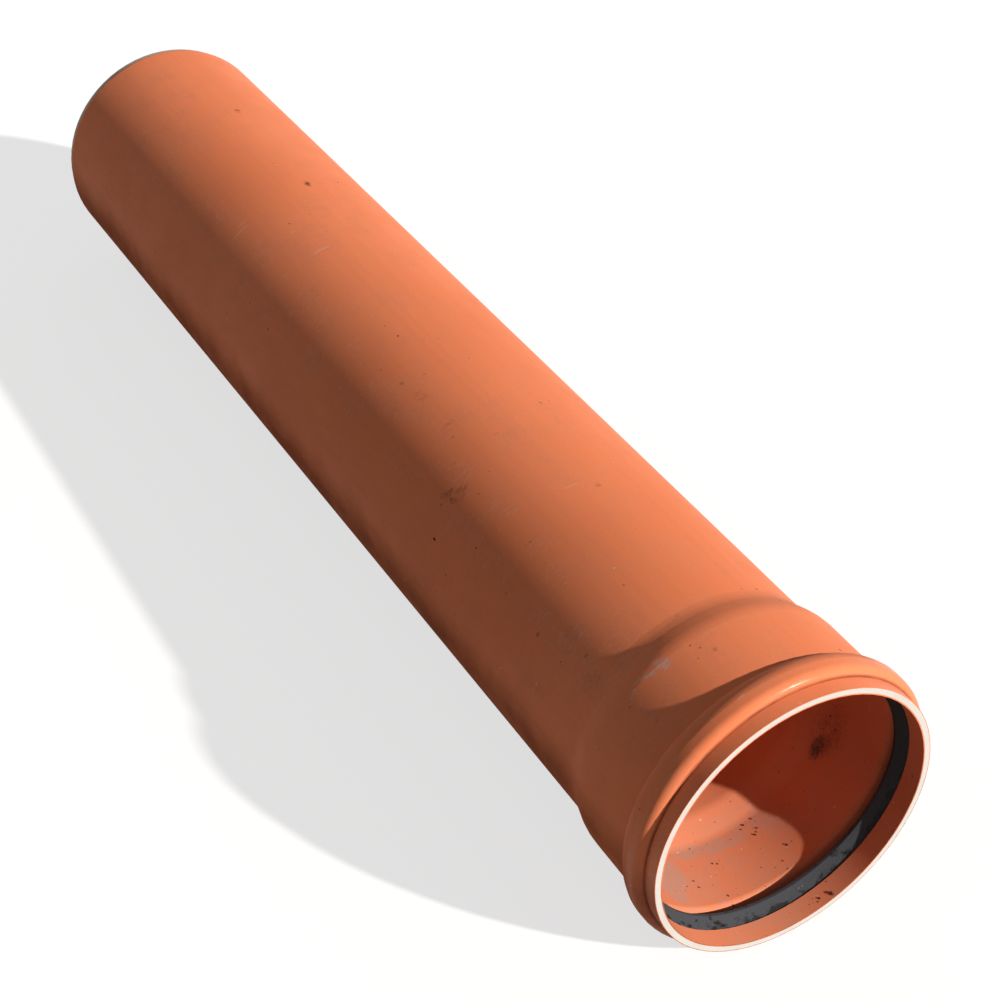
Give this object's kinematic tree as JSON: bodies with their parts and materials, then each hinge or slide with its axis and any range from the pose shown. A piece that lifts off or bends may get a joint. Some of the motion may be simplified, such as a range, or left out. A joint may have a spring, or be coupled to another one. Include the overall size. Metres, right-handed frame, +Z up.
{
  "type": "sewer pipe",
  "caption": "Short length of orange-brown PVC sewer pipe, belled at one end into a beaded socket with a rubber lip seal that takes the plain end of the next pipe.",
  "frame": {"origin": "under the middle of the pipe's length, at the lowest point of the socket's bead", "axes": "+X along the pipe from the plain end to the socket mouth, +Z up, as the pipe lies on a floor"},
  "size_m": [0.565, 0.1242, 0.1242],
  "materials": {
    "pipe_pvc": "satin orange-brown plastic with a white foamed middle that shows on the cut ends, dusty and lightly scuffed",
    "seal_rubber": "matt black rubber with grey dust"
  },
  "bodies": {
    "root": {"pipe": "pipe_pvc", "seal_ring": "seal_rubber"}
  },
  "joints": []
}
